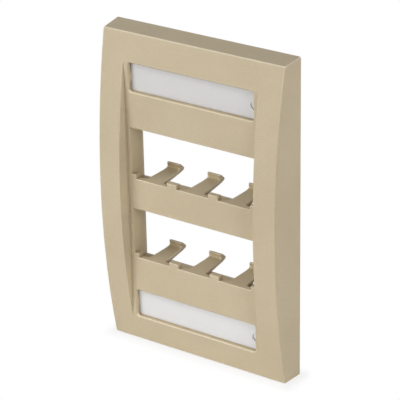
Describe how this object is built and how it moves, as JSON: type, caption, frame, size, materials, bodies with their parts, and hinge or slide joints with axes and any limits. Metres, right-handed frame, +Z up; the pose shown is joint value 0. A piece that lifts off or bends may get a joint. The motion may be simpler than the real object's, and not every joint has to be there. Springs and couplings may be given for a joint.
{
  "type": "modular jack faceplate",
  "caption": "Bowed single-gang wall faceplate with two rows of modular jack bays, latch arms and covered label windows over the mounting screws.",
  "frame": {"origin": "middle of the plate on the wall plane, which the back rim rests on", "axes": "+X to the right as seen from the front, +Y into the wall, +Z up"},
  "size_m": [0.0698, 0.0262, 0.1142],
  "materials": {
    "moulding": "fine matte texture",
    "clear_cover": "clear polished plastic",
    "paper": "matte paper",
    "screw_steel": "zinc plated"
  },
  "bodies": {
    "root": {"faceplate": "moulding", "upper_label_cover": "clear_cover", "lower_label_cover": "clear_cover", "upper_label": "paper", "lower_label": "paper", "upper_mounting_screw": "screw_steel", "lower_mounting_screw": "screw_steel"}
  },
  "joints": []
}
